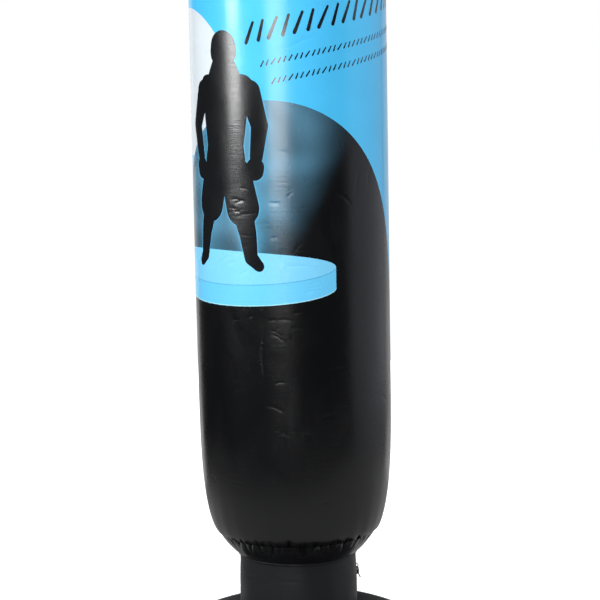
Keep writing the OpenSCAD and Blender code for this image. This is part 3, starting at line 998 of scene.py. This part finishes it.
def film(name, colour, rough=0.28, gloss=0.45, vary=0.06, crinkle=1.0, attribute=None):
    """PVC film: faint mottling, uneven gloss, lines round the bag, a net of tiny creases and a soft swell.

    An attribute takes the place of the colour, and its alpha dulls the gloss; deep in the folds both the
    darker colour and the duller gloss are painted shade.
    """
    material, principled, add, where = shader(name)
    fill(principled, {"Specular IOR Level": gloss})
    dark, light = shade(colour, 1 - vary), shade(colour, 1 + vary)
    if attribute:
        stored = add("ShaderNodeAttribute", attribute_name=attribute)
        # the gloss left deep in a fold, as painted shade
        fold_shade_gloss = 0.03
        fill(principled, {"Specular IOR Level": ranged(add, stored.outputs["Alpha"], 0, 1, fold_shade_gloss, gloss)})
        dark, light = (colour_mix(add, 1.0, stored.outputs["Color"], [share] * 3 + [1], "MULTIPLY")
                       for share in (1 - vary, 1 + vary))
    mottle = ranged(add, noise(add, where, 9, 4), 0.3, 0.7, 0, 1)
    smudge = noise(add, where, 14, 5, (1, 1, 0.6), 0.6)
    swell = noise(add, where, 7, 2)
    lines = noise(add, where, 30, 4, (1, 1, 10), 0.5)
    net = noise(add, where, 95, 3, (1, 1, 1.8), 1.2)
    grain = noise(add, where, 700, 2)
    fill(principled, {
        "Base Color": colour_mix(add, mottle, dark, light),
        "Roughness": ranged(add, smudge, 0.3, 0.75, rough - 0.05, rough + 0.09),
        **bumps(add, [(swell, 0.5, 1.2 * MM), (lines, 0.32 * crinkle, 0.38 * MM),
                      (net, 0.35 * crinkle, 0.16 * MM), (grain, 0.25, 0.02 * MM)]),
    })
    return material


def moulded(name, colour, rough, gloss=0.4, alpha=1.0):
    """Moulded plastic: even colour with slight wear, a fine grain and uneven gloss."""
    material, principled, add, where = shader(name)
    wear = noise(add, where, 60, 4)
    grain = noise(add, where, 900, 2)
    worn = ranged(add, wear, 0.35, 0.75, 0, 1)
    fill(principled, {
        "Base Color": colour_mix(add, worn, shade(colour, 0.85), shade(colour, 1.25)),
        "Roughness": ranged(add, wear, 0.3, 0.7, rough - 0.07, rough + 0.07),
        "Specular IOR Level": gloss,
        "Alpha": alpha,
        **bumps(add, [(grain, 0.25, 0.04 * MM)]),
    })
    return material


def dress(material, *nodes):
    """CAD nodes keep their shape and get a better material."""
    for node in nodes:
        materials = frame["nodes"][node].data.materials
        materials.clear()
        materials.append(material)


# ---------------- building

BLUE_FILM = film("blue_film", SKY_BLUE, 0.22, attribute="print")
BLACK_FILM = film("black_film", DISC_BLACK, 0.27, 0.60, crinkle=0.7, attribute="print")
MATTE_FILM = film("matte_black_film", (0.0080, 0.0085, 0.0100), 0.44, 0.26, crinkle=0.6)
BLACK_INK = film("ink_black", (0.0062, 0.0072, 0.0088), 0.21, 0.85, crinkle=0.8)

build_wall(BLUE_FILM, film("black_print_film", FILM_BLACK, 0.25, 0.82, crinkle=0.9, attribute="print"))
print_moon(film("ink_moon", (0.66, 0.73, 0.78), 0.24, vary=0.04))
print_plate(
    top=film("ink_plate_top", (0.215, 0.65, 0.96), vary=0.03),
    side=film("ink_plate_side", (0.15, 0.60, 0.94), vary=0.03),
    line=film("ink_plate_line", (0.40, 0.80, 0.98)),
    rim=film("ink_plate_rim", (0.10, 0.44, 0.72)),
)
print_figure(BLACK_INK, film("ink_boxer_rim", (0.10, 0.38, 0.62)))
print_strokes(BLACK_INK)
build_bottom_disc(BLACK_FILM)
build_crown(BLUE_FILM)
build_back_tape(film("blue_tape", 0.86 * SKY_BLUE, 0.24), film("black_tape", FILM_BLACK, gloss=0.40))
for build in (build_neck_lip, build_neck, build_foot_collar, build_dome, build_belly, build_filler_weld):
    build(MATTE_FILM)

VINYL = moulded("dark_vinyl", (0.045, 0.047, 0.050), 0.34, 0.5)
MOULDED = moulded("moulded_black", (0.016, 0.016, 0.017), 0.45)
build_filler_leash(MOULDED)
build_valve_leash(VINYL)
dress(VINYL, "valve_body", "valve_plug", "valve_flap")
dress(MOULDED, "filler_boss", "filler_cap")
dress(moulded("gasket_rubber", (0.05, 0.05, 0.052), 0.6, 0.3), "filler_seal")
dress(moulded("water", (0.45, 0.6, 0.65), 0.1, 0.5, alpha=0.5), "ballast_water")

# ---------------- stage, light and camera

def build_floor():
    """A wide pale disc that, to the camera, glows more further out so that it looks evenly white but for
    the soft shade round the object. To reflections and bounce light it is a painted pool of light instead,
    bright round the object and fading out further off.
    """
    radius, columns = 60.0, 96
    angles = [TURN * k / columns for k in range(columns)]
    floor = plain_object("floor", [(radius * math.cos(a), radius * math.sin(a), 0) for a in angles],
                         [range(columns)])
    material, principled, add, where = shader("pale_floor")
    shift = add("ShaderNodeMapping", {"Vector": where, "Location": (-0.28, -0.1, 0), "Scale": (0.8, 1, 1)})
    away = add("ShaderNodeVectorMath", {0: shift.outputs["Vector"]}, operation="LENGTH").outputs["Value"]
    fill(principled, {
        "Base Color": (0.86, 0.86, 0.86, 1),
        "Roughness": 0.8,
        "Specular IOR Level": 0.1,
        "Emission Color": (1, 1, 1, 1),
        "Emission Strength": ranged(add, away, 0.5, 3.0, 0.62, 1.0),
    })
    # painted pool of light: reflections and bounce light see the floor glow brightly near the bag and fade
    # out beyond
    painted_light_pool = add("ShaderNodeEmission", {"Strength": ranged(add, away, 1.1, 1.7, 0.52, 0.02)})
    seen = add("ShaderNodeLightPath").outputs["Is Camera Ray"]
    mix = add("ShaderNodeMixShader", {
        0: seen, 1: painted_light_pool.outputs["Emission"], 2: principled.outputs["BSDF"]})
    fill(material.node_tree.nodes["Material Output"], {"Surface": mix.outputs["Shader"]})
    floor.data.materials.append(material)


def area_light(name, degrees, distance, height, width, power, tall=None, aim=None, colour=(1, 1, 1)):
    """A light that faces the bag's axis; 0 degrees is in front of the print and 90 on its right."""
    lamp = bpy.data.lights.new(name, "AREA")
    lamp.energy = power
    lamp.color = colour
    lamp.size = width
    if tall:
        lamp.shape = "RECTANGLE"
        lamp.size_y = tall
    turn = math.radians(degrees)
    place = Vector((distance * math.sin(turn), -distance * math.cos(turn), height))
    target = Vector((0, 0, height if aim is None else aim))
    obj = bpy.data.objects.new(name, lamp)
    obj.location = place
    obj.rotation_mode = "QUATERNION"
    obj.rotation_quaternion = (target - place).to_track_quat("-Z", "Y")
    obj.visible_camera = False
    bpy.context.scene.collection.objects.link(obj)
    return obj


def build_light():
    world = bpy.data.worlds.new("studio")
    bpy.context.scene.world = world
    world.use_nodes = True
    add = node_maker(world.node_tree)
    seen = add("ShaderNodeLightPath").outputs["Is Camera Ray"]
    surround = colour_mix(add, seen, (0.015, 0.015, 0.015, 1), (1, 1, 1, 1))
    fill(world.node_tree.nodes["Background"], {"Color": surround})

    # degrees round the bag, distance, height, width and power of each
    area_light("key", 38, 2.6, 3.4, 1.4, 74, aim=0.9)
    area_light("left_strip", -64, 2.3, 1.93, 0.6, 62, tall=2.0)
    area_light("front_box", -13, 3.5, 1.76, 1.25, 67, tall=2.28)
    area_light("right_wall", 102, 2.4, 1.25, 3.1, 17, tall=2.5, colour=(0.94, 0.97, 1.08))
    area_light("back_wall", 180, 3.4, 1.2, 3.2, 60, tall=2.4).visible_glossy = False
    # the white surround that the film mirrors along both of its sides
    area_light("right_edge", 150, 1.5, 0.66, 0.76, 2.2, tall=1.3).visible_diffuse = False
    area_light("left_edge", -154, 1.5, 0.66, 0.64, 2.3, tall=1.3).visible_diffuse = False


def build_camera():
    """Level with the bag's upper half and tipped down, with the slight roll of the view."""
    camera = bpy.data.objects.new("camera", bpy.data.cameras.new("camera"))
    camera.data.lens = 110.5
    camera.data.sensor_width = 36
    tip, roll = math.radians(7.98), math.radians(-1.09)
    forward = Vector((0, math.cos(tip), -math.sin(tip)))
    level_right = Vector((1, 0, 0))
    level_up = level_right.cross(forward)
    right = level_right * math.cos(roll) + level_up * math.sin(roll)
    up = level_up * math.cos(roll) - level_right * math.sin(roll)
    place = Matrix((right, up, -forward)).transposed().to_4x4()
    place.translation = Vector((0.0107, -2.830, 1.088))
    camera.matrix_world = place
    bpy.context.scene.collection.objects.link(camera)
    bpy.context.scene.camera = camera


build_floor()
build_light()
build_camera()
bpy.context.scene.view_settings.view_transform = "Standard"
